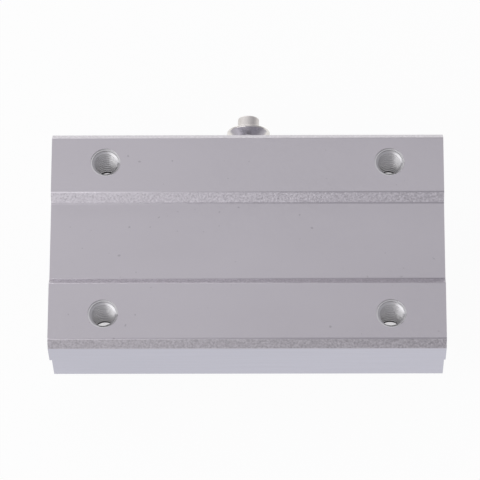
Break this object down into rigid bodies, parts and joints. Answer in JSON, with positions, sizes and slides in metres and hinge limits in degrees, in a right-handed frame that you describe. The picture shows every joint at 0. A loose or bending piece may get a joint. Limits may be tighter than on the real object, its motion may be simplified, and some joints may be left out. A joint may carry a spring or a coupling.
{
  "type": "linear bearing block",
  "caption": "Long aluminium block that carries ball bushings for a sliding 8 mm shaft, with tapped mounting holes and a grease nipple.",
  "frame": {"origin": "on the shaft's axis, half way along the block", "axes": "+X along the shaft, +Y out of the side that carries the grease nipple, +Z out of the mounting face"},
  "size_m": [0.058, 0.0408, 0.022],
  "materials": {
    "aluminium_block": "fine blasted and clear anodised, matt",
    "spacer_steel": "turned",
    "nipple_steel": "bright plated",
    "ball_steel": "polished",
    "spring_steel": "dark, lightly oiled",
    "sleeve_steel": "ground",
    "cage_plastic": "moulded, satin",
    "seal_rubber": "matt"
  },
  "bodies": {
    "block": {"housing": "aluminium_block", "spacer_ring": "spacer_steel", "grease_nipple": "nipple_steel", "nipple_spring": "spring_steel", "left_sleeve": "sleeve_steel", "left_ball_cage": "cage_plastic", "left_balls_1": "ball_steel", "left_balls_2": "ball_steel", "left_balls_3": "ball_steel", "left_balls_4": "ball_steel", "left_outer_seal": "seal_rubber", "left_inner_seal": "seal_rubber", "left_retaining_ring": "spring_steel", "right_sleeve": "sleeve_steel", "right_ball_cage": "cage_plastic", "right_balls_1": "ball_steel", "right_balls_2": "ball_steel", "right_balls_3": "ball_steel", "right_balls_4": "ball_steel", "right_outer_seal": "seal_rubber", "right_inner_seal": "seal_rubber", "right_retaining_ring": "spring_steel"},
    "check_ball": {"nipple_check_ball": "ball_steel"}
  },
  "joints": [
    {"name": "check_ball_slide", "type": "slide", "parent": "block", "child": "check_ball", "axis": [0, -1, 0], "range_m": [0, 0.0008], "stiffness_N_per_m": 200, "springref_m": -0.0015, "deforming": ["nipple_spring"]}
  ]
}
